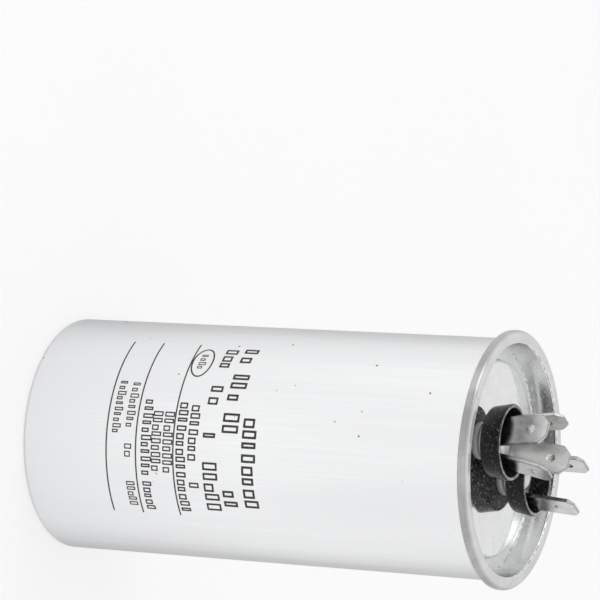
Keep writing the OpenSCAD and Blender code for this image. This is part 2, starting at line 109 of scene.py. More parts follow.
CUP_LIP_Z = top_of("two_blade_cup")
CUP_R = radius_of("two_blade_cup")
CUP_Z = top_of("two_blade_seal")
SPIGOT_Z = foot_of("two_blade_cup")
CUP_WALL = 0.9
CUP_FLOOR = 1.2
CUP_DRAFT = math.radians(10)
CUP_CORNER = 1.0
CUP_FLOOR_CORNER = 0.25
SPIGOT_R = 2.8
SPIGOT_EDGE = 0.2
SPIGOT_ROOT = 0.1
RIVET_HOLE_R = 1.6

SEAL_R = radius_of("two_blade_seal")
SEAL_HOLE_R = 2.9
SHANK_R = 1.5
HEAD_R = 2.6
HEAD_H = 0.9
STAMPED_EDGE = 0.07

# How finely the surfaces are cut: steps in a turn, the longest arc, and the longest straight step
TURN_STEPS = 256
SMALL_TURN_STEPS = 128
DOME_STEPS = 16
ARC_STEP = math.radians(7.5)
CAN_STEP = 4
LID_STEP = 1.5
CUP_STEP = 1
RIVET_STEP = 2

# Edges sharper than these aren't shaded smooth, and a copied node's faces within FLAT_ANGLE of
# each other are one flat face
SHARP_ANGLE = math.radians(35)
SHARP_STRIP_ANGLE = math.radians(28)
FLAT_ANGLE = math.radians(0.2)
EDGE_SEGMENTS = 3
# Points closer than these are merged, and edges shorter are dropped. In metres, as bmesh takes them
SAME_POINT = 1e-7
SAME_CAD_POINT = 1e-6
NO_LENGTH = 1e-8


# ---------------------------------------------------------------- outlines and meshes
def rounded(corners, closed=False):
    """A path of (x, y, radius) corners with each corner replaced by the arc that touches both of
    its sides: for a turn of angle t the arc starts radius * tan(t / 2) before the corner, and its
    centre lies radius / cos(t / 2) from the corner, on the inside of the turn."""
    corners = np.array(corners, float)
    count = len(corners)
    path = []
    for i in range(count):
        here, radius = corners[i, :2], corners[i, 2]
        if radius == 0 or (not closed and i in (0, count - 1)):
            path.append(here[None, :])
            continue
        back = corners[i - 1, :2] - here
        ahead = corners[(i + 1) % count, :2] - here
        back, ahead = back / np.linalg.norm(back), ahead / np.linalg.norm(ahead)
        turn = math.pi - math.acos(np.clip(back @ ahead, -1, 1))
        inward = (back + ahead) / np.linalg.norm(back + ahead)
        middle = here + inward * radius / math.cos(turn / 2)
        steps = max(2, math.ceil(turn / ARC_STEP))
        swing = np.linspace(-turn / 2, turn / 2, steps + 1)[:, None]
        side = (ahead - back) / np.linalg.norm(ahead - back)
        path.append(middle + radius * (np.sin(swing) * side - np.cos(swing) * inward))
    return np.concatenate(path)


def with_thickness(path, thickness):
    """The closed outline of a bent sheet: the path, then the same path moved to its right-hand side
    by the thickness along its normals, and walked back."""
    along = np.gradient(path, axis=0)
    normal = np.stack([along[:, 1], -along[:, 0]], 1)
    normal /= np.linalg.norm(normal, axis=1)[:, None]
    return np.concatenate([path, (path + thickness * normal)[::-1]])


def refined(path, longest, closed=False):
    """The path with points added, so that no step is longer than the given length: a step from s to
    e that is cut in n has its points at s + (e - s) * k / n, for k from 0 to n - 1."""
    ends = np.roll(path, -1, axis=0) if closed else path[1:]
    starts = path if closed else path[:-1]
    counts = np.maximum(1, np.ceil(np.linalg.norm(ends - starts, axis=1) / longest)).astype(int)
    step = np.repeat(np.arange(len(counts)), counts)
    k = np.arange(counts.sum()) - (np.cumsum(counts) - counts)[step]
    points = starts[step] + (ends - starts)[step] * k[:, None] / counts[step][:, None]
    return points if closed else np.concatenate([points, path[-1:]])


def make_object(name, verts, faces):
    """A mesh from arrays in millimetres, with its doubles merged, its faces turned outwards and
    its edges sharp where the faces meet at more than SHARP_ANGLE."""
    mesh = bpy.data.meshes.new(name)
    mesh.from_pydata((np.asarray(verts) * MM).tolist(), [], np.asarray(faces).tolist())
    piece = bpy.data.objects.new(name, mesh)
    bpy.context.scene.collection.objects.link(piece)
    tidy_mesh(mesh, SHARP_ANGLE)
    return piece


def tidy_mesh(mesh, sharp_angle):
    """Merges doubles, points the faces outwards and shades the mesh smooth between sharp edges."""
    work = bmesh.new()
    work.from_mesh(mesh)
    bmesh.ops.remove_doubles(work, verts=work.verts, dist=SAME_POINT)
    bmesh.ops.dissolve_degenerate(work, dist=NO_LENGTH, edges=work.edges)
    bmesh.ops.recalc_face_normals(work, faces=work.faces)
    for edge in work.edges:
        edge.smooth = edge.is_manifold and edge.calc_face_angle(0) < sharp_angle
    for face in work.faces:
        face.smooth = True
    work.to_mesh(mesh)
    work.free()


def turned(name, outline, centre=(0, 0), steps=TURN_STEPS, closed=True):
    """A surface of revolution: point (r, z) of the outline goes to
    (cx + r cos a, cy + r sin a, z) for every angle a. An outline that isn't closed starts and
    ends on the axis."""
    outline = np.asarray(outline, float)
    angle = np.arange(steps) * 2 * math.pi / steps
    r, z = outline[:, 0], outline[:, 1]
    verts = np.stack([centre[0] + np.outer(r, np.cos(angle)),
                      centre[1] + np.outer(r, np.sin(angle)),
                      np.repeat(z[:, None], steps, 1)], -1).reshape(-1, 3)
    rows = np.arange(len(outline) if closed else len(outline) - 1)
    i, j = np.meshgrid(rows, np.arange(steps), indexing="ij")
    i_next, j_next = (i + 1) % len(outline), (j + 1) % steps
    faces = np.stack([i * steps + j, i * steps + j_next, i_next * steps + j_next,
                      i_next * steps + j], -1).reshape(-1, 4)
    return make_object(name, verts, faces)


def smooth_copy(node, name, rounding):
    """A merged copy of a CAD node, with its flat faces rejoined and its sharp edges rounded by a
    width in millimetres."""
    mesh = frame["nodes"][node].data.copy()
    mesh.name = name
    work = bmesh.new()
    work.from_mesh(mesh)
    bmesh.ops.remove_doubles(work, verts=work.verts, dist=SAME_CAD_POINT)
    bmesh.ops.dissolve_limit(work, angle_limit=FLAT_ANGLE, verts=work.verts, edges=work.edges)
    work.to_mesh(mesh)
    work.free()
    tidy_mesh(mesh, SHARP_STRIP_ANGLE)
    piece = bpy.data.objects.new(name, mesh)
    bpy.context.scene.collection.objects.link(piece)
    edges = piece.modifiers.new("edges", "BEVEL")
    edges.width = rounding * MM
    edges.segments = EDGE_SEGMENTS
    edges.limit_method = "ANGLE"
    edges.angle_limit = SHARP_STRIP_ANGLE
    edges.harden_normals = True
    return piece


def finish_with(piece, slot):
    """Gives an object the finish of a material slot, in place of any it has."""
    piece.data.materials.clear()
    piece.data.materials.append(finishes[slot])


def dress(piece, node, slot):
    """Puts a piece in the part: gives it the finish of a material slot, hangs it on the root body,
    and hides the CAD node it stands for, if it stands for one."""
    finish_with(piece, slot)
    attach(piece, "root")
    if node:
        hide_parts(node)


# ---------------------------------------------------------------- materials
# Nearly all of a noise lies within this range
NOISE_RANGE = (0.3, 0.7)
ROUGHNESS_DRIFT = 0.15
EDGE_SAMPLES = 6

ALUMINIUM = (0.93, 0.935, 0.945)
SATIN_DULL, SATIN_BRIGHT = (0.90, 0.905, 0.915), (0.955, 0.96, 0.965)
CAN_PATCH, CAN_FOOT_SHADE, CAN_SPECK = (0.84, 0.845, 0.855), (0.80, 0.805, 0.815), (0.12, 0.12, 0.12)
CAN_FOOT_SHADE_TOP = 50
TIN_DULL, TIN_BRIGHT = (0.80, 0.805, 0.81), (0.87, 0.875, 0.88)
TIN_DUST, TIN_MARK_AND_SHADE = (0.97, 0.97, 0.96), (0.20, 0.20, 0.20)
SEAM_SHADE, SEAM_FACE_SHADE = (0.57, 0.57, 0.575), (0.36, 0.36, 0.365)
RESIN_BLACK, RESIN_DUST = (0.010, 0.010, 0.011), (0.45, 0.45, 0.44)
RESIN_LIP_HIGHLIGHT = (0.55, 0.55, 0.55)
BLADE, BLADE_LINE, BLADE_EDGE_SHADE = (0.58, 0.58, 0.57), (0.72, 0.72, 0.715), (0.08, 0.08, 0.08)
BLADE_DULL, BLADE_BRIGHT = (0.50, 0.50, 0.495), (0.64, 0.64, 0.635)
INK, INK_THIN = (0.02, 0.02, 0.023), (0.30, 0.30, 0.31)
SEAL_PALE = (0.97, 0.965, 0.95)


def new_finish(name, colour, metallic, roughness):
    """A material with a Principled shader, and the three things that the patterns need from it."""
    material = bpy.data.materials.new(name)
    material.use_nodes = True
    tree = material.node_tree
    shader = tree.nodes["Principled BSDF"]
    shader.inputs["Base Color"].default_value = (*colour, 1)
    shader.inputs["Metallic"].default_value = metallic
    shader.inputs["Roughness"].default_value = roughness
    return material, tree, shader


def set_edge_tint(shader, tint):
    """How much of a metal's light is left at glancing angles."""
    shader.inputs["Specular Tint"].default_value = (tint, tint, tint, 1)


def noise(tree, per_mm, detail):
    """Noise on object coordinates. Its grain is given per millimetre, by one number, or by three
    for X, Y and Z."""
    place = tree.nodes.new("ShaderNodeTexCoord")
    scale = tree.nodes.new("ShaderNodeMapping")
    scale.inputs["Scale"].default_value = [n / MM for n in np.broadcast_to(per_mm, 3)]
    cloud = tree.nodes.new("ShaderNodeTexNoise")
    cloud.inputs["Scale"].default_value = 1
    cloud.inputs["Detail"].default_value = detail
    tree.links.new(place.outputs["Object"], scale.inputs["Vector"])
    tree.links.new(scale.outputs["Vector"], cloud.inputs["Vector"])
    return cloud.outputs["Fac"]


def remap(tree, value, start, end, low, high):
    """A value taken from the range start..end to the range low..high, and held inside it."""
    change = tree.nodes.new("ShaderNodeMapRange")
    ends = {"From Min": start, "From Max": end, "To Min": low, "To Max": high}
    for socket, number in ends.items():
        change.inputs[socket].default_value = number
    tree.links.new(value, change.inputs["Value"])
    return change.outputs["Result"]


def spread(tree, cloud, low=0, high=1):
    """A noise taken from its usual range to the range low..high."""
    return remap(tree, cloud, *NOISE_RANGE, low, high)


def from_axis(tree):
    """Distance from the can's axis, in millimetres: the length of (x, y, 0)."""
    place = tree.nodes.new("ShaderNodeTexCoord")
    flat = tree.nodes.new("ShaderNodeVectorMath")
    flat.operation = "MULTIPLY"
    flat.inputs[1].default_value = (1 / MM, 1 / MM, 0)
    length = tree.nodes.new("ShaderNodeVectorMath")
    length.operation = "LENGTH"
    tree.links.new(place.outputs["Object"], flat.inputs[0])
    tree.links.new(flat.outputs["Vector"], length.inputs[0])
    return length.outputs["Value"]


def height_above_base(tree):
    """Height above the can's base, in millimetres."""
    place = tree.nodes.new("ShaderNodeTexCoord")
    parts = tree.nodes.new("ShaderNodeSeparateXYZ")
    tree.links.new(place.outputs["Object"], parts.inputs["Vector"])
    return remap(tree, parts.outputs["Z"], 0, 1, 0, 1 / MM)


def calculated(tree, operation, first, second):
    """Two values put together by a Math node's operation."""
    node = tree.nodes.new("ShaderNodeMath")
    node.operation = operation
    tree.links.new(first, node.inputs[0])
    tree.links.new(second, node.inputs[1])
    return node.outputs["Value"]


def peak_at(tree, value, middle, half):
    """1 where a value is at the middle, falling to 0 where it is half a width away from it."""
    return calculated(tree, "MULTIPLY", remap(tree, value, middle - half, middle, 0, 1),
                      remap(tree, value, middle, middle + half, 1, 0))


def near_edge(tree, reach):
    """How far the surface turns within the given reach in millimetres: 1 minus the cosine between
    its own normal and the normal that a rounded edge of that size would have."""
    rounding = tree.nodes.new("ShaderNodeBevel")
    rounding.samples = EDGE_SAMPLES
    rounding.inputs["Radius"].default_value = reach * MM
    surface = tree.nodes.new("ShaderNodeNewGeometry")
    cosine = tree.nodes.new("ShaderNodeVectorMath")
    cosine.operation = "DOT_PRODUCT"
    tree.links.new(rounding.outputs["Normal"], cosine.inputs[0])
    tree.links.new(surface.outputs["Normal"], cosine.inputs[1])
    return remap(tree, cosine.outputs["Value"], 0, 1, 1, 0)


def mixed(tree, factor, first, second):
    """Two colours mixed by a factor. Either may be a colour or another node's output."""
    mix = tree.nodes.new("ShaderNodeMix")
    mix.data_type = "RGBA"
    tree.links.new(factor, mix.inputs["Factor"])
    for socket, colour in ((mix.inputs[6], first), (mix.inputs[7], second)):
        if isinstance(colour, tuple):
            socket.default_value = (*colour, 1)
        else:
            tree.links.new(colour, socket)
    return mix.outputs[2]


def add_bump(tree, shader, height, depth):
    """Bump from a height of 0 to 1, whose full depth is given in millimetres."""
    bump = tree.nodes.new("ShaderNodeBump")
    bump.inputs["Distance"].default_value = depth * MM
    bump.inputs["Strength"].default_value = 1
    tree.links.new(height, bump.inputs["Height"])
    tree.links.new(bump.outputs["Normal"], shader.inputs["Normal"])


def drawn_aluminium():
    """Satin aluminium with fine draw lines along the can, soft patches, painted shade that darkens
    it towards the base, and a few dark specks."""
    material, tree, shader = new_finish("drawn_aluminium", ALUMINIUM, 1.0, 0.36)
    set_edge_tint(shader, 0.5)
    lines = noise(tree, (3.0, 3.0, 0.02), 5)
    satin = mixed(tree, remap(tree, lines, 0.35, 0.65, 0, 1), SATIN_DULL, SATIN_BRIGHT)
    patch = remap(tree, noise(tree, (0.055, 0.055, 0.008), 2), 0.35, 0.65, 0, 0.9)
    cloudy = mixed(tree, patch, satin, CAN_PATCH)
    # painted shade: the colour darkens towards the base of the can
    foot = remap(tree, height_above_base(tree), 0, CAN_FOOT_SHADE_TOP, 0.75, 0)
    foot_shaded = mixed(tree, foot, cloudy, CAN_FOOT_SHADE)
    speck = remap(tree, noise(tree, 0.8, 0), 0.88, 0.885, 0, 0.85)
    tree.links.new(mixed(tree, speck, foot_shaded, CAN_SPECK), shader.inputs["Base Color"])
    tree.links.new(spread(tree, lines, 0.30, 0.42), shader.inputs["Roughness"])
    add_bump(tree, shader, lines, 0.006)
    return material


def bright_tinplate():
    """Tinplate with a near-mirror panel. The drawn groove and skirt are duller, the seam is painted
    greyer as shade, and its outer face darker still with painted shade. Fine scratches follow lines
    where a noise passes its middle value, pale dust dulls the mirror, and broken lines of painted
    shade lie along the bends of the groove and of the skirt."""
    material, tree, shader = new_finish("bright_tinplate", TIN_DULL, 1.0, 0.08)
    set_edge_tint(shader, 0.8)
    r = from_axis(tree)
    grain = noise(tree, 0.25, 6)
    dust = remap(tree, noise(tree, 2.0, 3), 0.56, 0.68, 0.03, 0.35)
    shade_breakup = remap(tree, noise(tree, 0.12, 3), 0.35, 0.65, 0.55, 1)

    tone = mixed(tree, spread(tree, grain), TIN_DULL, TIN_BRIGHT)
    dusty = mixed(tree, remap(tree, dust, 0.03, 0.2, 0, 0.85), tone, TIN_DUST)
    # painted shade: the seam is painted greyer and its outer face darker still, broken up by a
    # noise
    folded = remap(tree, r, SKIRT_TOP_R, SKIRT_TOP_R + 0.5, 0, 0.65)
    seam_shaded = mixed(tree, calculated(tree, "MULTIPLY", folded, shade_breakup), dusty, SEAM_SHADE)
    rolled = remap(tree, r, SEAM_R - 0.7, SEAM_R - 0.1, 0, 1)
    seam_face_shaded = mixed(tree, calculated(tree, "MULTIPLY", rolled, shade_breakup), seam_shaded, SEAM_FACE_SHADE)

    line = peak_at(tree, noise(tree, 0.13, 1), 0.5, 0.004)
    in_places = remap(tree, noise(tree, 0.2, 0), 0.55, 0.62, 0, 0.6)
    scratch = calculated(tree, "MULTIPLY", line, in_places)
    pit = remap(tree, noise(tree, 0.9, 1), 0.78, 0.82, 0, 0.6)
    # painted shade: broken dark lines along the bends of the groove and skirt, in the same dark
    # colour as the real scratches and pits
    rings = peak_at(tree, r, SKIRT_TOP_R + 0.12, 0.12)
    for bend in (GROOVE_OUT_R - 0.1, GROOVE_IN_R + 0.1):
        rings = calculated(tree, "MAXIMUM", rings, peak_at(tree, r, bend, 0.12))
    broken = remap(tree, noise(tree, 0.8, 3), 0.46, 0.56, 0.1, 0.9)
    painted_shade = calculated(tree, "MULTIPLY", rings, broken)
    marks_and_shade = calculated(tree, "MAXIMUM", calculated(tree, "MAXIMUM", scratch, pit), painted_shade)

    drawn = remap(tree, r, GROOVE_IN_R - 0.3, GROOVE_IN_R + 0.3, 0, 0.13)
    sheen = calculated(tree, "ADD", spread(tree, grain, 0.04, 0.10), drawn)
    tree.links.new(mixed(tree, marks_and_shade, seam_face_shaded, TIN_MARK_AND_SHADE), shader.inputs["Base Color"])
    tree.links.new(remap(tree, dust, 0, 1, 1, 0), shader.inputs["Metallic"])
    tree.links.new(sheen, shader.inputs["Roughness"])
    add_bump(tree, shader, noise(tree, 0.3, 3), 0.03)
    return material


def moulded_resin():
    """Black resin with a faint moulded ripple, fine pale dust and a painted highlight along the
    lip.
    """
    material, tree, shader = new_finish("moulded_resin", RESIN_BLACK, 0.0, 0.3)
    shader.inputs["Specular IOR Level"].default_value = 0.22
    dust = remap(tree, noise(tree, 2.4, 3), 0.60, 0.72, 0, 0.5)
    # painted highlight: a paler band along the top of the lip, broken up by a noise
    lip = remap(tree, height_above_base(tree), CUP_LIP_Z - 0.16, CUP_LIP_Z - 0.04, 0, 1)
    in_places = remap(tree, noise(tree, 0.7, 4), 0.4, 0.6, 0.3, 0.9)
    lip_highlight = calculated(tree, "MULTIPLY", lip, in_places)
    dusty = mixed(tree, dust, RESIN_BLACK, RESIN_DUST)
    tree.links.new(mixed(tree, lip_highlight, dusty, RESIN_LIP_HIGHLIGHT), shader.inputs["Base Color"])
    tree.links.new(spread(tree, noise(tree, 0.6, 3), 0.22, 0.36), shader.inputs["Roughness"])
    add_bump(tree, shader, noise(tree, 1.1, 2), 0.03)
    return material


def tinned_blade():
    """Tinned brass with rolling lines up the blades, a soft mottle in its sheen, and painted shade
    darkening the stamped edges round the blades and their dimples."""
    material, tree, shader = new_finish("tinned_blade", BLADE, 1.0, 0.22)
    lines = noise(tree, (5.0, 5.0, 0.25), 4)
    mottle = noise(tree, 0.5, 4)
    tone = mixed(tree, spread(tree, mottle), BLADE_DULL, BLADE_BRIGHT)
    lined = mixed(tree, remap(tree, lines, 0.4, 0.7, 0, 0.35), tone, BLADE_LINE)
    # painted shade: darker where the surface turns, along the edges of the blades and round their
    # dimples
    painted_shade = remap(tree, near_edge(tree, 0.3), 0.006, 0.025, 0, 0.8)
    tree.links.new(mixed(tree, painted_shade, lined, BLADE_EDGE_SHADE), shader.inputs["Base Color"])
    tree.links.new(spread(tree, mottle, 0.18, 0.28), shader.inputs["Roughness"])
    add_bump(tree, shader, lines, 0.004)
    return material


def printing_ink():
    """Matt black ink, a little thin in places."""
    material, tree, shader = new_finish("printing_ink", INK, 0.0, 0.55)
    thin = remap(tree, noise(tree, 2.2, 3), 0.45, 0.75, 0, 0.3)
    tree.links.new(mixed(tree, thin, INK, INK_THIN), shader.inputs["Base Color"])
    return material


def plain_finish(name, colour, metallic, roughness, grain, shade=0.85, depth=0.01):
    """One colour that drifts towards a darker shade of itself, with the same grain per millimetre
    in its roughness and, to a depth in millimetres, in its bump."""
    material, tree, shader = new_finish(name, colour, metallic, roughness)
    cloud = noise(tree, grain, 4)
    darker = tuple(c * shade for c in colour)
    drift = roughness * (1 - ROUGHNESS_DRIFT), roughness * (1 + ROUGHNESS_DRIFT)
    tree.links.new(mixed(tree, spread(tree, cloud), colour, darker), shader.inputs["Base Color"])
    tree.links.new(spread(tree, cloud, *drift), shader.inputs["Roughness"])
    add_bump(tree, shader, cloud, depth)
    return material


def seal_rubber():
    """Pale rubber with a faint drift in its colour, under a glossy skin."""
    material = plain_finish("seal_rubber", SEAL_PALE, 0.0, 0.35, 1.5, 0.97)
    shader = material.node_tree.nodes["Principled BSDF"]
    shader.inputs["Coat Weight"].default_value = 1
    shader.inputs["Coat Roughness"].default_value = 0.15
    shader.inputs["Coat IOR"].default_value = 2.2
    return material


# ---------------------------------------------------------------- the can, its lid and its seam
def drawn_can():
    """The can's wall and base as one turned sheet, with the flange turned out at its mouth."""
    inside_r = CAN_R - CAN_WALL
    flange_foot = FLANGE_TOP - CAN_WALL
    outline = rounded([(0, 0, 0), (CAN_R, 0, CAN_CORNER), (CAN_R, flange_foot, FLANGE_BEND),
                       (FLANGE_R, flange_foot, 0), (FLANGE_R, FLANGE_TOP, 0),
                       (inside_r, FLANGE_TOP, FLANGE_BEND + CAN_WALL),
                       (inside_r, CAN_BASE, CAN_CORNER - CAN_WALL), (0, CAN_BASE, 0)])
    piece = turned("can_shell", refined(outline, CAN_STEP), closed=False)
    dress(piece, "can", "aluminium_can")


def pressed_lid():
    """The lid's panel and ring groove, the skirt that leans out to the can's wall, and the seam
    that the lid rolls over the can's flange."""
    groove_z = PANEL_Z - GROOVE_D
    seam_foot = CAN_TOP - SEAM_H
    face = rounded([(0, PANEL_Z, 0), (GROOVE_IN_R, PANEL_Z, SOFT_BEND),
                    (GROOVE_IN_R, groove_z, TIGHT_BEND), (GROOVE_OUT_R, groove_z, TIGHT_BEND),
                    (SKIRT_TOP_R, CAN_TOP, SOFT_BEND), (SEAM_R, CAN_TOP, SEAM_H / 2),
                    (SEAM_R, seam_foot, SEAM_FOOT_BEND), (CURL_R, seam_foot, 0)])
    outline = with_thickness(refined(face, LID_STEP), SHEET)
    outline[-1, 0] = 0  # the sheet's underside ends on the axis too
    piece = turned("pressed_lid", outline, closed=False)
    dress(piece, "lid", "lid_tinplate")


# ---------------------------------------------------------------- terminals
def insulator_cup(node):
    """A cup turned about its terminal: spigot, round underside, leaning wall, full-round lip and
    flat floor with the rivet's hole."""
    lean = math.tan(CUP_DRAFT)
    floor_z = CUP_Z + CUP_FLOOR
    lip = CUP_WALL / 2
    inner_lip = lip * 0.9  # a little tighter, so that the lip's two arcs don't run into each other
    rise = CUP_LIP_Z - lip - CUP_Z
    wall_top_r = CUP_R - lip + lip * math.cos(CUP_DRAFT)
    outer_foot_r = wall_top_r - rise * lean
    inner_top_r = CUP_R - CUP_WALL
    inner_foot_r = inner_top_r - (rise - CUP_FLOOR) * lean
    outline = rounded([(RIVET_HOLE_R, SPIGOT_Z, 0), (SPIGOT_R, SPIGOT_Z, SPIGOT_EDGE),
                       (SPIGOT_R, CUP_Z, SPIGOT_ROOT), (outer_foot_r, CUP_Z, CUP_CORNER),
                       (CUP_R + lip * lean, CUP_LIP_Z, lip),
                       (inner_top_r + lip * lean, CUP_LIP_Z, inner_lip),
                       (inner_foot_r, floor_z, CUP_FLOOR_CORNER), (RIVET_HOLE_R, floor_z, 0)],
                      closed=True)
    outline = refined(outline, CUP_STEP, closed=True)
    piece = turned(node + "_moulding", outline, centre_of(node), SMALL_TURN_STEPS)
    dress(piece, node, "black_resin")


def cup_seal(node):
    """The seal under a cup: a ring whose outer edge bulges a little where it is squeezed."""
    low, high = foot_of(node), top_of(node)
    edge = (high - low) / 3
    outline = rounded([(SEAL_HOLE_R, low, 0), (SEAL_R, low, edge), (SEAL_R, high, edge),
                       (SEAL_HOLE_R, high, 0)], closed=True)
    piece = turned(node + "_ring", outline, centre_of(node), SMALL_TURN_STEPS)
    dress(piece, node, "seal_rubber")


def domed_rivet(node):
    """A rivet: a dome of radius (a * a + h * h) / 2h over a head of half width a and height h, on
    a plain shank."""
    low, high = foot_of(node), top_of(node)
    dome_r = (HEAD_R ** 2 + HEAD_H ** 2) / (2 * HEAD_H)
    swing = np.linspace(0, math.asin(HEAD_R / dome_r), DOME_STEPS + 1)
    dome = np.stack([dome_r * np.sin(swing), high - dome_r * (1 - np.cos(swing))], 1)
    shank = np.array([(SHANK_R, high - HEAD_H), (SHANK_R, low), (0, low)])
    outline = refined(np.concatenate([dome, shank]), RIVET_STEP)
    piece = turned(node + "_body", outline, centre_of(node), SMALL_TURN_STEPS, closed=False)
    dress(piece, node, "rivet_tin")


def folded_strip(node):
    """A folded strip with its dimples and chamfered tips, its stamped edges slightly rounded."""
    piece = smooth_copy(node, node + "_stamping", STAMPED_EDGE)
    dress(piece, node, "blade_tin")


# ---------------------------------------------------------------- print on the can
INK_LIFT = 0.015
RULE_ANGLES = (152, 244.5)
RULE_HEIGHTS = (20.4, 27.4, 36.2)
RULE_W = 0.32
# Rows of open boxes: foot of the row, height of its tallest boxes, and each run's two angles
MARK_ROWS = [
    (21.6, 2.0, [(178, 205)]),
    (24.7, 2.0, [(178.5, 202), (209, 216), (227.5, 241)]),
    (28.6, 2.5, [(187, 225), (227, 243)]),
    (31.0, 2.3, [(192.5, 222)]),
    (33.7, 2.3, [(192.5, 222.5)]),
    (36.8, 2.7, [(187.5, 243.5)]),
    (38.0, 1.7, [(159.5, 169.5)]),
    (39.6, 2.7, [(188.5, 216), (226, 231)]),
    (43.0, 3.4, [(155, 169), (178, 190), (201.5, 206), (215.5, 241.5)]),
    (47.2, 3.8, [(154, 166), (171, 180), (182, 186), (191.5, 203), (229, 240)]),
    (52.0, 3.9, [(193.5, 239)]),
]
# Shares of a row's height: from one box to the next, and the width of a box's line
MARK_PITCH = 0.62
MARK_LINE = 0.13
# Kinds of box: width as a share of the pitch, height as a share of the row's height
MARK_KINDS = [(0.76, 1.0), (0.64, 0.68), (0.82, 0.68), (0.68, 1.0), (0.54, 0.84), (0.72, 0.84)]
OVAL_AT = (164.5, 38.8)
OVAL_SIZE = (8.0, 4.9)
OVAL_LINE = 0.35
OVAL_POWER, BOX_POWER = 2, 16
RING_STEPS = 32
LEAST_HALF = 0.01


def curved_band(angle_start, angle_end, low, high):
    """Corners and faces of a level band of ink: a grid over angle and height at the can's radius
    plus the ink's lift, one face for about every degree."""
    steps = max(1, round(abs(angle_end - angle_start)))
    angle = np.radians(np.linspace(angle_start, angle_end, steps + 1))
    r = CAN_R + INK_LIFT
    ring = np.stack([r * np.cos(angle), r * np.sin(angle)], 1)
    verts = np.concatenate([np.column_stack([ring, np.full(steps + 1, z)]) for z in (low, high)])
    i = np.arange(steps)
    faces = np.stack([i, i + 1, i + steps + 2, i + steps + 1], 1)
    return verts, faces


def curved_ring(middle, size, line, power):
    """Corners and faces of a ring of ink with the outline |x / a| ** n + |y / b| ** n = 1, where x
    runs round the can and y up it from the ring's middle (degrees, mm), a and b are half its size,
    n is the power, and its inner outline has a and b smaller by the line. Power 2 gives an oval,
    and a high one a box with slightly rounded corners."""
    t = (np.arange(RING_STEPS) + 0.5) * 2 * math.pi / RING_STEPS
    x = np.sign(np.cos(t)) * np.abs(np.cos(t)) ** (2 / power)
    y = np.sign(np.sin(t)) * np.abs(np.sin(t)) ** (2 / power)
    r = CAN_R + INK_LIFT
    rims = []
    for inset in (0, line):
        a, b = (max(side / 2 - inset, LEAST_HALF) for side in size)
        angle = math.radians(middle[0]) + a * x / CAN_R
        rims.append(np.stack([r * np.cos(angle), r * np.sin(angle), middle[1] + b * y], 1))
    i = np.arange(RING_STEPS)
    after = (i + 1) % RING_STEPS
    return np.concatenate(rims), np.stack([i, after, after + RING_STEPS, i + RING_STEPS], 1)


def ink_layer(name, shapes):
    """Shapes of ink joined to one piece, whose outer side lies at INK_LIFT on the can."""
    counts = np.cumsum([0] + [len(verts) for verts, _ in shapes])
    verts = np.concatenate([verts for verts, _ in shapes])
    faces = np.concatenate([faces + count for (_, faces), count in zip(shapes, counts)])
    piece = make_object(name, verts, faces)
    thicken = piece.modifiers.new("ink", "SOLIDIFY")
    thicken.thickness = INK_LIFT * MM
    thicken.offset = -1
    dress(piece, None, "printing_ink")


def mark_run(foot, tallest, start, end):
    """One run of open boxes, set side by side at about MARK_PITCH times the row's height so that a
    whole number fits. Box k has kind k * k + 2 * k plus the run's start, round the MARK_KINDS."""
    span = math.radians(end - start) * CAN_R
    count = max(1, round(span / (MARK_PITCH * tallest)))
    pitch = span / count
    boxes = []
    for k in range(count):
        wide, tall = MARK_KINDS[(k * k + 2 * k + round(start)) % len(MARK_KINDS)]
        width, height = pitch * wide, tallest * tall
        middle = start + math.degrees((k * pitch + width / 2) / CAN_R)
        place, size = (middle, foot + height / 2), (width, height)
        boxes.append(curved_ring(place, size, MARK_LINE * tallest, BOX_POWER))
    return boxes


def printed_marks():
    """Three rules round the can, rows of open boxes where its rating is printed, and an oval."""
    rules = [curved_band(*RULE_ANGLES, z - RULE_W / 2, z + RULE_W / 2) for z in RULE_HEIGHTS]
    boxes = []
    for foot, tallest, runs in MARK_ROWS:
        for start, end in runs:
            boxes += mark_run(foot, tallest, start, end)
    ink_layer("printed_rules", rules)
    ink_layer("printed_boxes", boxes)
    ink_layer("printed_oval", [curved_ring(OVAL_AT, OVAL_SIZE, OVAL_LINE, OVAL_POWER)])


# ---------------------------------------------------------------- camera, floor and light
CAMERA_AT = (-547.7, -258.9, 340.0)
LOOK_AT = (-14.7, 27.4, 52.1)
ROLL = 92.35
LENS, SENSOR_W = 189.23, 36
CLIP_START = 0.01
# Soft boxes: name, place, side, and power in watts. All face the height LIT_Z on the can's axis
LAMPS = [("key", (-350, 550, 600), 400, 0.42), ("fill", (-600, -500, 300), 500, 0.15)]
LIT_Z = 55
# The room's strength as it lights the part, and as it is seen
ROOM_LIGHT = 0.72
ROOM_WHITE = 0.94
FLOOR_PALE, FLOOR_PALER = (0.93, 0.93, 0.93), (0.945, 0.945, 0.945)
FLOOR_GLOW = 0.25
FLOOR_HALF = 3000
FLOOR_CELLS = 24


def set_camera():
    """The camera, rolled so that the can lies across the picture."""
    place, aim = Vector(CAMERA_AT) * MM, Vector(LOOK_AT) * MM
    ahead = (aim - place).normalized()
    level = ahead.cross(Vector((0, 0, 1))).normalized()
    up = level.cross(ahead)
    roll = math.radians(ROLL)
    right = math.cos(roll) * level + math.sin(roll) * up
    data = bpy.data.cameras.new("camera")
    data.sensor_width = SENSOR_W
    data.lens = LENS
    data.clip_start = CLIP_START
    camera = bpy.data.objects.new("camera", data)
    axes = Matrix((right, (-ahead).cross(right), -ahead)).transposed()
    camera.matrix_world = Matrix.Translation(place) @ axes.to_4x4()
    bpy.context.scene.collection.objects.link(camera)
    bpy.context.scene.camera = camera


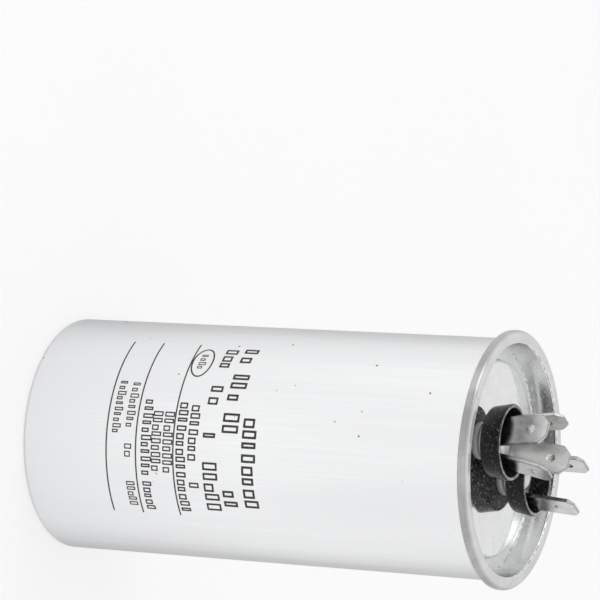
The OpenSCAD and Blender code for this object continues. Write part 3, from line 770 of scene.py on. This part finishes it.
def add_lamp(name, place, side, power):
    """A square soft box at a place in millimetres, turned to the middle of the can."""
    data = bpy.data.lights.new(name, "AREA")
    data.size = side * MM
    data.energy = power
    lamp = bpy.data.objects.new(name, data)
    lamp.location = Vector(place) * MM
    beam = Vector((0, 0, LIT_Z)) * MM - lamp.location
    lamp.rotation_euler = beam.to_track_quat("-Z", "Y").to_euler()
    bpy.context.scene.collection.objects.link(lamp)


def sees_background(tree):
    """1 for rays that come from the camera, or from it by way of a mirror or glass."""
    path = tree.nodes.new("ShaderNodeLightPath")
    seen = path.outputs["Is Camera Ray"]
    for ray in ("Is Glossy Ray", "Is Transmission Ray"):
        seen = calculated(tree, "MAXIMUM", seen, path.outputs[ray])
    return seen


def set_floor():
    """A pale floor under the can, a flat grid. It takes the can's shadow, and where it is seen
    directly or in the metal it adds FLOOR_GLOW of white to the light that it reflects."""
    material, tree, shader = new_finish("pale_floor", FLOOR_PALE, 0.0, 0.9)
    tone = mixed(tree, spread(tree, noise(tree, 0.004, 2)), FLOOR_PALE, FLOOR_PALER)
    glow = remap(tree, sees_background(tree), 0, 1, 0, FLOOR_GLOW)
    tree.links.new(tone, shader.inputs["Base Color"])
    tree.links.new(glow, shader.inputs["Emission Strength"])
    shader.inputs["Emission Color"].default_value = (1, 1, 1, 1)
    row = FLOOR_CELLS + 1
    steps = np.linspace(-FLOOR_HALF, FLOOR_HALF, row)
    x, y = np.meshgrid(steps, steps, indexing="ij")
    verts = np.stack([x, y, np.zeros_like(x)], -1).reshape(-1, 3)
    i, j = np.meshgrid(np.arange(FLOOR_CELLS), np.arange(FLOOR_CELLS), indexing="ij")
    corner = (i * row + j).ravel()
    faces = np.stack([corner, corner + row, corner + row + 1, corner + 1], 1)
    floor = make_object("floor", verts, faces)
    floor.data.materials.append(material)


def set_world():
    """A pale room that looks white, and lights the part a little less than white would."""
    world = bpy.data.worlds.new("room")
    world.use_nodes = True
    tree = world.node_tree
    background = tree.nodes["Background"]
    background.inputs["Color"].default_value = (1, 1, 1, 1)
    strength = remap(tree, sees_background(tree), 0, 1, ROOM_LIGHT, ROOM_WHITE)
    tree.links.new(strength, background.inputs["Strength"])
    bpy.context.scene.world = world


# ---------------------------------------------------------------- the whole part
# One finish for each of the record's material slots
finishes = {
    "aluminium_can": drawn_aluminium(),
    "lid_tinplate": bright_tinplate(),
    "black_resin": moulded_resin(),
    "blade_tin": tinned_blade(),
    "seal_rubber": seal_rubber(),
    "printing_ink": printing_ink(),
    "seam_compound": plain_finish("seam_compound", (0.30, 0.33, 0.35), 0.0, 0.6, 1.0),
    "rivet_tin": plain_finish("rivet_tin", (0.70, 0.70, 0.68), 1.0, 0.28, 1.2),
    "nylon": plain_finish("moulded_nylon", (0.84, 0.82, 0.74), 0.0, 0.45, 0.5, 0.93),
    "washer_steel": plain_finish("washer_steel", (0.58, 0.60, 0.62), 1.0, 0.35, 1.0),
    "tab_brass": plain_finish("tab_brass", (0.78, 0.62, 0.32), 1.0, 0.3, 1.0),
    "film": plain_finish("wound_film", (0.78, 0.80, 0.82), 0.6, 0.25, 0.4, 0.9),
    "sprayed_zinc": plain_finish("sprayed_zinc", (0.55, 0.57, 0.59), 0.9, 0.6, 3.0, 0.7, 0.08),
    "wrap_film": plain_finish("wrap_film", (0.84, 0.72, 0.44), 0.0, 0.3, 0.3, 0.9),
    "lead_copper": plain_finish("lead_copper", (0.80, 0.52, 0.36), 1.0, 0.3, 1.0),
    "sleeve_plastic": plain_finish("lead_sleeve", (0.66, 0.15, 0.11), 0.0, 0.7, 4.0, 0.7, 0.05),
    "solder": plain_finish("solder", (0.68, 0.69, 0.70), 1.0, 0.3, 1.0),
}

drawn_can()
pressed_lid()
for terminal in ("four_blade", "two_blade"):
    insulator_cup(terminal + "_cup")
    cup_seal(terminal + "_seal")
    domed_rivet(terminal + "_rivet")
for strip in ("crown_wide_strip", "crown_narrow_strip", "two_blade_strip"):
    folded_strip(strip)
printed_marks()
for subpart in record["subparts"]:
    finish_with(frame["nodes"][subpart["node"]], subpart["material_slot"])

set_camera()
set_floor()
set_world()
for lamp in LAMPS:
    add_lamp(*lamp)
bpy.context.scene.view_settings.view_transform = "Standard"
